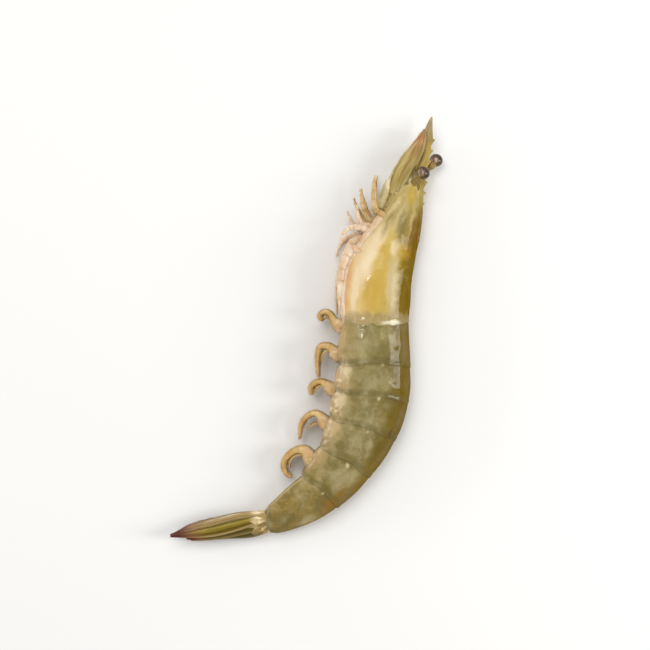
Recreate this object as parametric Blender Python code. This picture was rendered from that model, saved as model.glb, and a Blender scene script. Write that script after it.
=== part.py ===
"""A raw whiteleg shrimp lying on its right side, tail curled to the belly side. Metres, +Z up."""

import math

import bmesh
import bpy
from mathutils import Vector

MM = 0.001
GAP = 0.3  # clearance between neighbouring pieces, mm
BODY_LENGTH = 166.0  # along the back line, rostrum tip to tail tip, mm
SPINE_STEP = 0.5
REST_FLAT = 0.3  # how much of each shell is cut level where it lies, mm
SHELL_SIDES = 24
MIDDLE_SHARE = 0.55  # where the section is widest, from the belly edge to the back edge
BELLY_FULLNESS = 0.9  # power that rounds the lower half of a section
BELLY_PINCH = 0.22  # how much narrower a section is at the belly
WELD = 0.00002  # metres
EYE_RADIUS = 2.05
ROSTRUM_TIP = (37.6, 63.25)  # plan position that centres the whole animal, mm

# Direction of the back line in plan, degrees, at distances from the rostrum tip.
HEADINGS = (
    (0, -112.5), (22, -110.1), (44, -105.1), (62, -91.7), (80, -95.4),
    (96, -111.6), (112, -130.9), (128, -146.7), (142, -169.8), (166, -174.5),
)
# Shell size along the body: distance, back edge, belly edge, half width.
SHELL = (
    (20, 4.4, -3.0, 2.9), (25, 6.0, -3.5, 4.2), (33, 8.0, -4.3, 6.1), (41, 9.3, -7.0, 7.5),
    (48, 10.2, -9.1, 8.2), (56, 10.6, -9.7, 8.3), (63, 10.6, -9.4, 8.2), (70, 10.8, -10.5, 8.2),
    (78, 11.5, -10.9, 8.1), (86, 12.0, -11.2, 7.8), (94, 11.4, -10.8, 7.4), (102, 10.2, -9.7, 7.0),
    (114, 8.6, -8.0, 6.1), (121, 7.6, -7.3, 5.5), (129, 5.6, -6.0, 4.6), (136.5, 4.0, -4.3, 3.8),
)
SEGMENT_STARTS = (64.0, 76.0, 85.3, 95.0, 106.0, 117.3, 136.2)


def curve_value(table, column, where):
    """Smooth value of one column of a table of stations."""
    last = len(table) - 1
    index = max(i for i in range(last) if i == 0 or table[i][0] <= where)
    before, start, end, after = (table[min(max(index + k, 0), last)] for k in (-1, 0, 1, 2))
    span = end[0] - start[0]
    t = (where - start[0]) / span
    slope_in = (end[column] - before[column]) / (end[0] - before[0]) * span
    slope_out = (after[column] - start[column]) / (after[0] - start[0]) * span
    return (
        (2 * t**3 - 3 * t**2 + 1) * start[column] + (t**3 - 2 * t**2 + t) * slope_in
        + (3 * t**2 - 2 * t**3) * end[column] + (t**3 - t**2) * slope_out
    )


def walk_spine():
    """Plan points of the back line, one every SPINE_STEP."""
    x, y = ROSTRUM_TIP
    points = [(x, y)]
    for i in range(round(BODY_LENGTH / SPINE_STEP)):
        heading = math.radians(curve_value(HEADINGS, 1, (i + 0.5) * SPINE_STEP))
        x += math.cos(heading) * SPINE_STEP
        y += math.sin(heading) * SPINE_STEP
        points.append((x, y))
    return points


SPINE = walk_spine()


def mid_height(s):
    """Height of the animal's middle plane, so that every shell lies on the ground."""
    station = min(max(s, SHELL[3][0]), SHELL[-1][0])
    return curve_value(SHELL, 3, station) - REST_FLAT


def world(s, u, v):
    """World point, metres, from distance along the body, offset to the back and offset up."""
    inside = min(max(s, 0.0), BODY_LENGTH - 0.01)
    index = int(inside / SPINE_STEP)
    part = inside / SPINE_STEP - index
    heading = math.radians(curve_value(HEADINGS, 1, inside))
    x = SPINE[index][0] * (1 - part) + SPINE[index + 1][0] * part + math.cos(heading) * (s - inside)
    y = SPINE[index][1] * (1 - part) + SPINE[index + 1][1] * part + math.sin(heading) * (s - inside)
    x -= math.sin(heading) * u
    y += math.cos(heading) * u
    return Vector((x, y, mid_height(s) + v)) * MM


def clear_file():
    for thing in list(bpy.data.objects):
        bpy.data.objects.remove(thing, do_unlink=True)
    for group in list(bpy.data.collections):
        bpy.data.collections.remove(group)
    group = bpy.data.collections.new("whiteleg_shrimp")
    bpy.context.scene.collection.children.link(group)
    return group


def surface(name, colour, roughness):
    material = bpy.data.materials.new(name)
    material.use_nodes = True
    shader = material.node_tree.nodes["Principled BSDF"]
    shader.inputs["Base Color"].default_value = (*colour, 1.0)
    shader.inputs["Roughness"].default_value = roughness
    return material


def loft(name, rings, material, group):
    """One closed body through rings of equal length, with both ends capped."""
    sides = len(rings[0])
    points = [point for ring in rings for point in ring]
    faces = [tuple(range(sides))]
    for r in range(len(rings) - 1):
        for k in range(sides):
            a, b = r * sides + k, r * sides + (k + 1) % sides
            faces.append((a, a + sides, b + sides, b))
    faces.append(tuple(reversed(range((len(rings) - 1) * sides, len(rings) * sides))))
    mesh = bpy.data.meshes.new(name)
    mesh.from_pydata(points, [], faces)
    mesh.update()
    piece = bpy.data.objects.new(name, mesh)
    group.objects.link(piece)
    piece.data.materials.append(material)
    for face in mesh.polygons:
        face.use_smooth = True
    face_outwards(piece)
    return piece


def face_outwards(piece):
    bpy.ops.object.select_all(action="DESELECT")
    bpy.context.view_layer.objects.active = piece
    piece.select_set(True)
    bpy.ops.object.mode_set(mode="EDIT")
    bpy.ops.mesh.select_all(action="SELECT")
    bpy.ops.mesh.normals_make_consistent(inside=False)
    bpy.ops.object.mode_set(mode="OBJECT")


def shell_ring(s, back, belly, width):
    """Cross section of the body: round back, fuller flanks, narrower belly, level underneath."""
    top = curve_value(SHELL, 1, s) * back
    bottom = curve_value(SHELL, 2, s) * belly
    half = curve_value(SHELL, 3, s) * width
    middle = MIDDLE_SHARE * top + (1 - MIDDLE_SHARE) * bottom
    ring = []
    for k in range(SHELL_SIDES):
        angle = 2 * math.pi * k / SHELL_SIDES
        across, up = math.sin(angle), math.cos(angle)
        if up >= 0:
            u = middle + (top - middle) * up
            v = half * across
        else:
            u = middle - (middle - bottom) * abs(up) ** BELLY_FULLNESS
            v = half * across * (1 - BELLY_PINCH * up**2)
        point = world(s, u, v)
        point.z = max(point.z, 0.0)
        ring.append(point)
    return ring


def smooth_line(stations, count):
    """The stations with a smooth curve through them, read at count even steps."""
    table = [(i, *station) for i, station in enumerate(stations)]
    steps = len(stations) - 1
    columns = range(1, len(stations[0]) + 1)
    return [
        tuple(curve_value(table, column, steps * i / (count - 1)) for column in columns)
        for i in range(count)
    ]


def blade(name, stations, material, group, rings=11, sides=8):
    """Leaf or paddle: stations of s, u, v, half width in plan and half height."""
    line = smooth_line(stations, rings)
    centres = [world(s, u, v) for s, u, v, _, _ in line]
    loops = []
    for i, (centre, (_, _, _, wide, high)) in enumerate(zip(centres, line)):
        ahead, behind = centres[min(i + 1, rings - 1)], centres[max(i - 1, 0)]
        side = Vector((behind.y - ahead.y, ahead.x - behind.x, 0)).normalized()
        angles = [2 * math.pi * (k + 0.5) / sides for k in range(sides)]
        loops.append([
            centre + side * (wide * MM * math.cos(a)) + Vector((0, 0, high * MM * math.sin(a)))
            for a in angles
        ])
    return loft(name, loops, material, group)


def limb(name, stations, material, group, points=11):
    """Round tapered limb: a bevelled curve through stations of s, u, v and radius."""
    line = smooth_line(stations, points)
    curve = bpy.data.curves.new(name, "CURVE")
    curve.dimensions = "3D"
    curve.bevel_depth = MM
    curve.bevel_resolution = 1
    curve.use_fill_caps = True
    spline = curve.splines.new("POLY")
    spline.points.add(points - 1)
    for point, (s, u, v, radius) in zip(spline.points, line):
        point.co = (*world(s, u, v), 1)
        point.radius = radius
    piece = bpy.data.objects.new(name, curve)
    group.objects.link(piece)
    curve.materials.append(material)
    return piece


def as_mesh(piece):
    """The curve object as a mesh object of the same name, its caps welded."""
    name, group = piece.name, piece.users_collection[0]
    evaluated = piece.evaluated_get(bpy.context.evaluated_depsgraph_get())
    mesh = bpy.data.meshes.new_from_object(evaluated)
    form = bmesh.new()
    form.from_mesh(mesh)
    bmesh.ops.remove_doubles(form, verts=form.verts, dist=WELD)
    form.to_mesh(mesh)
    form.free()
    bpy.data.objects.remove(piece, do_unlink=True)
    solid = bpy.data.objects.new(name, mesh)
    group.objects.link(solid)
    return solid


def combine(piece, other):
    """Join other to piece as one solid and drop other."""
    union = piece.modifiers.new("union", "BOOLEAN")
    union.operation = "UNION"
    union.solver = "EXACT"
    union.object = other
    bpy.ops.object.select_all(action="DESELECT")
    bpy.context.view_layer.objects.active = piece
    piece.select_set(True)
    bpy.ops.object.modifier_apply(modifier=union.name)
    bpy.data.objects.remove(other, do_unlink=True)


def build_carapace(group, material):
    """Head shield with the toothed rostrum grown from its crest."""
    stations = (
        (22.4, 0.8, 0.7, 0.75), (23.2, 0.93, 0.9, 0.93), (25.5, 1, 1, 1), (29.0, 1, 1, 1),
        (34.0, 1, 1, 1), (39.0, 1, 1, 1), (44.0, 1, 1, 1), (49.0, 1, 1, 1), (54.0, 1, 1, 1),
        (59.0, 1, 1, 1), (62.0, 1.01, 1, 1.01), (63.7, 1.01, 0.92, 1.0),
    )
    carapace = loft("carapace", [shell_ring(*row) for row in stations], material, group)
    # Upper edge of the blade, with the saw teeth, then the lower edge back to the crest.
    outline = [
        (36, 8.8), (31, 7.9), (28.6, 7.9), (28.2, 7.2), (25.4, 6.9), (25.0, 6.1), (22.3, 5.9),
        (21.9, 5.1), (19.1, 5.1), (18.7, 4.4), (15.9, 4.5), (15.5, 3.8), (12.8, 3.9), (12.4, 3.3),
        (9.6, 3.4), (9.2, 2.8), (6.4, 2.7), (6.0, 2.2), (2.6, 1.1), (0.0, 0.0), (0.3, -0.5),
        (3.0, -0.8), (8.0, -0.3), (14.0, 0.9), (20.0, 1.8), (30.0, 3.0), (36.0, 4.0),
    ]
    faces = [
        [world(s, u, side * (0.3 + 0.9 * (s / outline[0][0]) ** 1.2)) for s, u in outline]
        for side in (-1, 1)
    ]
    combine(carapace, loft("rostrum_blade", faces, material, group))


def build_segments(group, material):
    """Six overlapping rings of the abdomen, each with rounded side plates."""
    wave = ((0, 0.94, 0.84, 0.94), (0.08, 0.975, 0.92, 0.975), (0.24, 1, 1.01, 1),
            (0.5, 1.01, 1.05, 1.01), (0.74, 1.015, 1.03, 1.02), (0.92, 1.015, 0.94, 1.02),
            (1, 1.0, 0.85, 1.01))
    for number in range(6):
        start, end = SEGMENT_STARTS[number], SEGMENT_STARTS[number + 1] - GAP
        rings = []
        for t, back, belly, width in wave:
            if number == 5:
                belly = 1 + (belly - 1) * 0.35
            rings.append(shell_ring(start + (end - start) * t, back, belly, width))
        loft(f"abdomen_{number + 1}", rings, material, group)


def build_tail(group, material):
    """Telson and four blades, one above the other, fanned a little."""
    telson = ((136.5, 1.6, 0.1, 2.0, 1.0), (142, 2.3, 0.1, 1.8, 0.9), (149, 2.1, 0.1, 1.2, 0.7),
              (156, 2.2, 0, 0.6, 0.5), (159.5, 2.3, 0, 0.2, 0.2))
    blade("telson", telson, material, group)
    blades = (
        ("uropod_outer_left", 2.9, (136.6, -2.6, 1.4), (144, -2.1, 2.7), (152, -1.2, 2.9),
         (159, -0.6, 1.9), (165.6, -0.1, 0.5)),
        ("uropod_inner_left", 1.9, (136.6, 0.2, 1.3), (143, -0.2, 2.6), (151, 0.3, 2.7),
         (157, 1.0, 1.7), (160.6, 1.5, 0.4)),
        ("uropod_inner_right", -1.6, (136.6, 0.4, 1.3), (143, 0.4, 2.6), (151, 0.6, 2.6),
         (157, 1.1, 1.7), (161.2, 1.6, 0.4)),
        ("uropod_outer_right", -2.6, (136.6, -2.0, 1.4), (144, -1.7, 2.7), (152, -0.9, 2.9),
         (159, -0.4, 2.2), (163.6, -0.3, 0.5)),
    )
    for name, level, *line in blades:
        blade(name, [(s, u, level, wide, 0.36) for s, u, wide in line], material, group)


def build_head(group, shell, skin, eye):
    """Eyes on stalks, antennal scales, antennules and antenna bases in front of the shield."""
    for name, base, centre in (
        ("eye_left", (20.4, 2.2, 3.0), (17.0, 3.5, 4.0)),
        ("eye_right", (18.6, 3.4, -2.6), (11.3, 5.9, -3.2)),
    ):
        neck = tuple(a * 0.45 + b * 0.55 for a, b in zip(base, centre))
        piece = as_mesh(limb(name, ((*base, 0.8), (*neck, 1.2), (*centre, 1.1)), skin, group, 5))
        bpy.ops.mesh.primitive_uv_sphere_add(
            segments=14, ring_count=9, radius=EYE_RADIUS * MM, location=world(*centre))
        ball = bpy.context.object
        ball.data.materials.append(eye)
        combine(piece, ball)
        for face in piece.data.polygons:
            face.use_smooth = True
    scale = ((22.0, -2.5, 1.9), (18.5, -2.0, 2.6), (14, -1.3, 2.5), (10, -0.6, 1.9), (6.4, -0.7, 0.5))
    antennule = ((21.8, 0.3, 0.6), (14, -0.6, 0.6), (8, -1.3, 0.35), (2.6, -1.2, 0.15))
    antenna = ((31.0, -5.6, 0.7), (27.5, -5.2, 1.35), (24.2, -5.3, 1.15), (19, -5.9, 0.35), (13, -5.6, 0.15))
    for side, level, shift in (("left", 1, 0.0), ("right", -1, 0.9)):
        stations = [(s, u + shift, 2.7 * level, wide, 0.35) for s, u, wide in scale]
        blade(f"antennal_scale_{side}", stations, shell, group)
        limb(f"antennule_{side}", [(s, u, 1.6 * level, r) for s, u, r in antennule], skin, group)
        limb(f"antenna_{side}", [(s, u, 2.2 * level, r) for s, u, r in antenna], skin, group)


def belly(s, lobe=1.0):
    """Offset at which a limb starts, just clear of the shell's belly edge."""
    return curve_value(SHELL, 2, s) * lobe - GAP - 0.1


def build_legs(group, material):
    """Two maxillipeds and five pairs of walking legs, folded along the belly side."""
    # Name, height from the middle plane, radius, root distance, then the joints of the leg.
    legs = (
        ("maxilliped_left", 4.1, 0.75, 32.4, (32.0, -6.2), (27.0, -8.2), (22.4, -9.6)),
        ("pereiopod_1_left", 0.9, 0.6, 34.8, (35.2, -6.6), (31.0, -10.2), (27.2, -12.0)),
        ("pereiopod_2_left", 2.6, 0.6, 36.6, (37.0, -8.6), (35.0, -10.4), (32.2, -11.4)),
        ("pereiopod_3_left", 4.5, 0.75, 38.2, (38.0, -8.4), (39.0, -11.8), (43.2, -13.8)),
        ("pereiopod_4_left", 2.4, 0.95, 41.2, (43.0, -9.9), (50.0, -10.6), (57.5, -10.7)),
        ("pereiopod_5_left", 4.6, 1.0, 44.4, (46.6, -10.4), (53.0, -10.9), (61.6, -10.5)),
        ("maxilliped_right", -4.3, 0.75, 32.0, (31.6, -6.0), (27.0, -7.9), (21.6, -8.8)),
        ("pereiopod_1_right", -0.8, 0.6, 35.6, (36.2, -7.4), (33.2, -11.0), (30.2, -13.2)),
        ("pereiopod_2_right", -2.6, 0.6, 37.6, (38.4, -9.2), (36.6, -12.2), (34.2, -13.8)),
        ("pereiopod_3_right", -4.4, 0.75, 39.6, (40.4, -9.8), (42.6, -12.4), (47.2, -13.4)),
        ("pereiopod_4_right", 0.3, 0.85, 42.2, (44.4, -10.5), (51.0, -11.4), (58.6, -11.3)),
        ("pereiopod_5_right", -2.2, 0.85, 45.4, (47.6, -10.7), (54.0, -11.3), (62.0, -10.9)),
    )
    for name, level, radius, root, *line in legs:
        line = [(root, belly(root) - radius * 0.6), *line]
        sizes = (radius * 1.1, radius, radius * 0.75, radius * 0.3)
        limb(name, [(s, u, level, r) for (s, u), r in zip(line, sizes)], material, group)


def build_pleopods(group, material):
    """Five pairs of curled swimming blades under the abdomen."""
    # Root distance along the body, then the curl of the blade.
    blades = (
        (65.8, (63.8, -11.9), (61.9, -13.1), (61.3, -14.8), (62.4, -16.3), (64.0, -15.5)),
        (73.8, (72.3, -12.2), (71.2, -13.8), (71.7, -15.9), (74.4, -16.5), (78.1, -16.4), (82.4, -15.7)),
        (86.0, (84.2, -13.3), (83.5, -15.0), (84.7, -16.8), (87.0, -17.6), (90.0, -16.9)),
        (99.0, (97.0, -12.3), (96.7, -14.3), (99.4, -16.0), (104.2, -16.3), (110.2, -14.2)),
        (111.9, (112.0, -11.3), (114.8, -13.2), (119.0, -13.3), (121.7, -11.6), (122.0, -9.0)),
    )
    for number, (root, *curl) in enumerate(blades, start=1):
        line = [(root, belly(root, 1.06) - 0.25), *curl]
        last = len(line) - 1
        for side, level, reach in (("left", 2.3, 1.0), ("right", -2.3, 0.94)):
            stations = []
            for i, (s, u) in enumerate(line):
                share = i / last
                thick = 1.1 - 0.65 * min(share * 2, 1)
                stations.append((s, line[0][1] + (u - line[0][1]) * reach, level, thick, 1.8 - 0.8 * share))
            blade(f"pleopod_{number}_{side}", stations, material, group, rings=14, sides=6)


def main():
    group = clear_file()
    shell = surface("shell", (0.33, 0.30, 0.16), 0.3)
    tail = surface("tail_blades", (0.28, 0.22, 0.06), 0.35)
    limb = surface("legs", (0.75, 0.52, 0.38), 0.35)
    paddle = surface("swimmerets", (0.55, 0.36, 0.16), 0.35)
    eye = surface("eyes", (0.03, 0.025, 0.02), 0.1)
    build_carapace(group, shell)
    build_segments(group, shell)
    build_tail(group, tail)
    build_head(group, shell, limb, eye)
    build_legs(group, limb)
    build_pleopods(group, paddle)


main()
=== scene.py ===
"""Looks of a raw whiteleg shrimp lying on its right side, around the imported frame. Metres, +Z up."""
import math

import bpy
import numpy as np
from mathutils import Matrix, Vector, noise


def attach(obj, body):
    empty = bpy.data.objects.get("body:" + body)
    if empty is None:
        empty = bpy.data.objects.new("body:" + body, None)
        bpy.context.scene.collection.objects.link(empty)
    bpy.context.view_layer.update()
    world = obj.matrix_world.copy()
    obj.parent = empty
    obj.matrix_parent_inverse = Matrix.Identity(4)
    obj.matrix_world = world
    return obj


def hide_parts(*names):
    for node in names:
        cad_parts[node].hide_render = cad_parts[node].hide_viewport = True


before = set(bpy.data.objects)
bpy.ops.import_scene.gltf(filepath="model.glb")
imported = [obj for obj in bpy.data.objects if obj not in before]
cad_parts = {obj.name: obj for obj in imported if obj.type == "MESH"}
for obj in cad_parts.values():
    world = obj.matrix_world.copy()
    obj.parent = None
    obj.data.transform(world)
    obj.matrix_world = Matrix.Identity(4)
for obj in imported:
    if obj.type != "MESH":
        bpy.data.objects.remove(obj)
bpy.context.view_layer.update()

# ------------------------------
# Table, light and camera. A pale table top under soft boxes: a long one beside the back, which lays
# the wet stripe along it, one on the belly side, a wide one overhead and a small lamp by the lens.
# The camera looks straight down from a little over half a metre.
MM = 0.001
TABLE_SIZE = 6.0
TABLE_ROUGHNESS = 0.6
ROOM_LIGHT = 0.48
LENS, SENSOR_WIDTH, FARTHEST = 100.0, 36.0, 10.0
CAMERA_PLACE = (5.63, 1.41, 543.5)  # mm
LAMPS = (
    # Name, place, size across and along, power.
    ("box_by_back", (0.54, -0.04, 0.36), (0.17, 0.46), 2.0),
    ("box_by_belly", (-0.68, 0.1, 0.24), (0.5, 0.14), 1.0),
    ("box_overhead", (-0.2, 0.55, 1.2), (0.9, 0.6), 6.5),
    ("lamp_near_lens", (-0.16, 0.14, 0.95), (0.1, 0.1), 0.7),
)


def tint(red, green, blue):
    """Linear colour from the 0-255 values a painter would pick on screen."""
    parts = (c / 255 for c in (red, green, blue))
    return tuple(c / 12.92 if c <= 0.04045 else ((c + 0.055) / 1.055) ** 2.4 for c in parts) + (1.0,)


def deselect():
    bpy.ops.object.select_all(action="DESELECT")


deselect()
bpy.ops.mesh.primitive_plane_add(size=TABLE_SIZE, location=(0, 0, 0))
table_top = bpy.context.object
table_top.name = "table_top"
table_paint = bpy.data.materials.new("table_paint")
table_paint.use_nodes = True
table_inputs = table_paint.node_tree.nodes["Principled BSDF"].inputs
table_inputs["Base Color"].default_value = tint(240, 239, 236)
table_inputs["Roughness"].default_value = TABLE_ROUGHNESS
table_top.data.materials.append(table_paint)

scene = bpy.context.scene
scene.view_settings.view_transform = "Standard"
room = bpy.data.worlds.new("room")
room.use_nodes = True
room.node_tree.nodes["Background"].inputs["Color"].default_value = (1.0, 1.0, 1.0, 1.0)
room.node_tree.nodes["Background"].inputs["Strength"].default_value = ROOM_LIGHT
scene.world = room

for name, place, size, power in LAMPS:
    lamp = bpy.data.lights.new(name, "AREA")
    lamp.shape = "RECTANGLE"
    lamp.size, lamp.size_y = size
    lamp.energy = power
    box = bpy.data.objects.new(name, lamp)
    scene.collection.objects.link(box)
    box.location = place
    box.rotation_euler = (-Vector(place)).to_track_quat("-Z", "Y").to_euler()

camera_data = bpy.data.cameras.new("camera")
camera_data.lens = LENS
camera_data.sensor_width = SENSOR_WIDTH
camera_data.clip_end = FARTHEST
camera = bpy.data.objects.new("camera", camera_data)
scene.collection.objects.link(camera)
camera.location = [c * MM for c in CAMERA_PLACE]
scene.camera = camera

# ------------------------------
# Muscle inside the shell. Grey, half clear flesh, closed at both ends; it shows along the belly
# between the side plates. A ball drawn out to the body's section, then laid along the back line.
BODY_LENGTH = 166.0  # along the back line, rostrum tip to tail tip, mm
LINE_STEP = 0.5
ROSTRUM_TIP = (37.6, 63.25)
# Heading of the back line, degrees, at distances along it.
HEADINGS = np.array((
    (0, -112.5), (22, -110.1), (44, -105.1), (62, -91.7), (80, -95.4),
    (96, -111.6), (112, -130.9), (128, -146.7), (142, -169.8), (166, -174.5),
))
# Body size along the line: distance, back edge, belly edge, half width.
BODY = np.array((
    (20, 4.4, -3.0, 2.9), (25, 6.0, -3.5, 4.2), (33, 8.0, -4.3, 6.1), (41, 9.3, -7.0, 7.5),
    (48, 10.2, -9.1, 8.2), (56, 10.6, -9.7, 8.3), (63, 10.6, -9.4, 8.2), (70, 10.8, -10.5, 8.2),
    (78, 11.5, -10.9, 8.1), (86, 12.0, -11.2, 7.8), (94, 11.4, -10.8, 7.4), (102, 10.2, -9.7, 7.0),
    (114, 8.6, -8.0, 6.1), (121, 7.6, -7.3, 5.5), (129, 5.6, -6.0, 4.6), (136.5, 4.0, -4.3, 3.8),
))
LYING = (41, 136.5)  # the stretch that lies on the table; head and fan keep the height at its ends
REST_FLAT = 0.3  # how far its lower side is pressed flat
CENTRE_SHARE = 0.55  # where the widest level lies between belly and back
BELLY_SQUARE, BELLY_PINCH = 0.9, 0.22
MUSCLE_START, MUSCLE_END = 25.0, 138.5
MUSCLE_FULLNESS = 0.89  # of the section, so that it clears the shell
WATER_IOR = 1.33


def along(table, column, where):
    """Smooth value of one column of a table of stations, at one place or many."""
    table = np.asarray(table, float)
    where = np.asarray(where, float)
    last = len(table) - 1
    index = np.clip(np.searchsorted(table[:, 0], where, side="right") - 1, 0, last - 1)
    before, start, end, after = (table[np.clip(index + k, 0, last)] for k in (-1, 0, 1, 2))
    span = end[..., 0] - start[..., 0]
    t = (where - start[..., 0]) / span
    slope_in = (end[..., column] - before[..., column]) / (end[..., 0] - before[..., 0]) * span
    slope_out = (after[..., column] - start[..., column]) / (after[..., 0] - start[..., 0]) * span
    return (
        (2 * t**3 - 3 * t**2 + 1) * start[..., column] + (t**3 - 2 * t**2 + t) * slope_in
        + (3 * t**2 - 2 * t**3) * end[..., column] + (t**3 - t**2) * slope_out
    )


def columns(*parts):
    """Numbers side by side, one row for each point."""
    return np.stack(parts, axis=-1)


steps = np.arange(round(BODY_LENGTH / LINE_STEP))
headings = np.radians(along(HEADINGS, 1, (steps + 0.5) * LINE_STEP))
LINE_X = ROSTRUM_TIP[0] + np.concatenate(((0,), np.cumsum(np.cos(headings) * LINE_STEP)))
LINE_Y = ROSTRUM_TIP[1] + np.concatenate(((0,), np.cumsum(np.sin(headings) * LINE_STEP)))


def lay(s, u, v):
    """World points, metres, of places on the straight animal, mm: distance along the back line,
    offset to the back, height over the middle plane. Nothing goes below the table."""
    s, u, v = (np.asarray(x, float) for x in (s, u, v))
    inside = np.clip(s, 0, BODY_LENGTH)
    heading = np.radians(along(HEADINGS, 1, inside))
    marks = np.arange(len(LINE_X)) * LINE_STEP
    x = np.interp(inside, marks, LINE_X) + np.cos(heading) * (s - inside) - np.sin(heading) * u
    y = np.interp(inside, marks, LINE_Y) + np.sin(heading) * (s - inside) + np.cos(heading) * u
    z = along(BODY, 3, np.clip(s, *LYING)) - REST_FLAT + v
    return columns(x, y, np.maximum(z, 0.0)) * MM


def section(s, turn):
    """Offsets to the back and up of the body's skin, and the offset of its middle. Turn runs from 0
    at the back, by 90 degrees on the upper flank, to 180 at the belly."""
    top, bottom, half = (along(BODY, k, s) for k in (1, 2, 3))
    middle = CENTRE_SHARE * top + (1 - CENTRE_SHARE) * bottom
    toward, across = np.cos(np.radians(turn)), np.sin(np.radians(turn))
    below = toward < 0
    u = np.where(below, middle - (middle - bottom) * np.abs(toward) ** BELLY_SQUARE,
                 middle + (top - middle) * toward)
    v = half * across * np.where(below, 1 - BELLY_PINCH * toward**2, 1.0)
    return u, v, middle


def points_of(piece):
    flat = np.empty(len(piece.data.vertices) * 3)
    piece.data.vertices.foreach_get("co", flat)
    return flat.reshape(-1, 3)


def move_points(piece, points):
    piece.data.vertices.foreach_set("co", np.asarray(points, float).ravel())
    piece.data.update()


def note(piece, name, values):
    """Writes three numbers per point, which the colours are laid out by."""
    marks = piece.data.attributes.get(name) or piece.data.attributes.new(name, "FLOAT_VECTOR", "POINT")
    marks.data.foreach_set("vector", np.asarray(values, np.float32).ravel())


def lay_down(piece):
    """Bends a piece made straight, in mm, onto the back line, and keeps its straight place."""
    straight = points_of(piece)
    note(piece, "place", straight)
    move_points(piece, lay(*straight.T))


def choose(piece):
    """Selects one piece alone."""
    deselect()
    piece.select_set(True)
    bpy.context.view_layer.objects.active = piece


def turn_outward(piece, merge=None):
    """Merges points that are closer than a distance, if one is given, and turns every face outward."""
    choose(piece)
    bpy.ops.object.mode_set(mode="EDIT")
    bpy.ops.mesh.select_all(action="SELECT")
    if merge:
        bpy.ops.mesh.remove_doubles(threshold=merge)
    bpy.ops.mesh.normals_make_consistent(inside=False)
    bpy.ops.object.mode_set(mode="OBJECT")


def new_ball(name, around, lengthwise):
    """A ball one unit in radius, to be drawn out to a closed form, and its points."""
    deselect()
    bpy.ops.mesh.primitive_uv_sphere_add(segments=around, ring_count=lengthwise, radius=1.0)
    ball = bpy.context.object
    ball.name = name
    return ball, points_of(ball)


def drawn_ball(name, around, lengthwise, start, end, rounding):
    """A ball for a form from start to end of the back line: the piece, and for each point its
    distance, its turn in degrees and how full the form is there, 0 at both ends."""
    piece, ball = new_ball(name, around, lengthwise)
    s = start + (end - start) * ((ball[:, 2] + 1) / 2)
    full = np.clip(np.minimum(s - start, end - s) / rounding, 0, 1) ** 0.5
    return piece, s, np.degrees(np.arctan2(ball[:, 1], ball[:, 0])), full


def finish_piece(piece, finish, part_slot, *nodes):
    """Paints a piece, smooths its shading and ties it to the frame."""
    piece.data.materials.append(finish.material)
    piece.data.polygons.foreach_set("use_smooth", [True] * len(piece.data.polygons))
    piece.data.update()
    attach(piece, "root")
    if nodes:
        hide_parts(*nodes)


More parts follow.
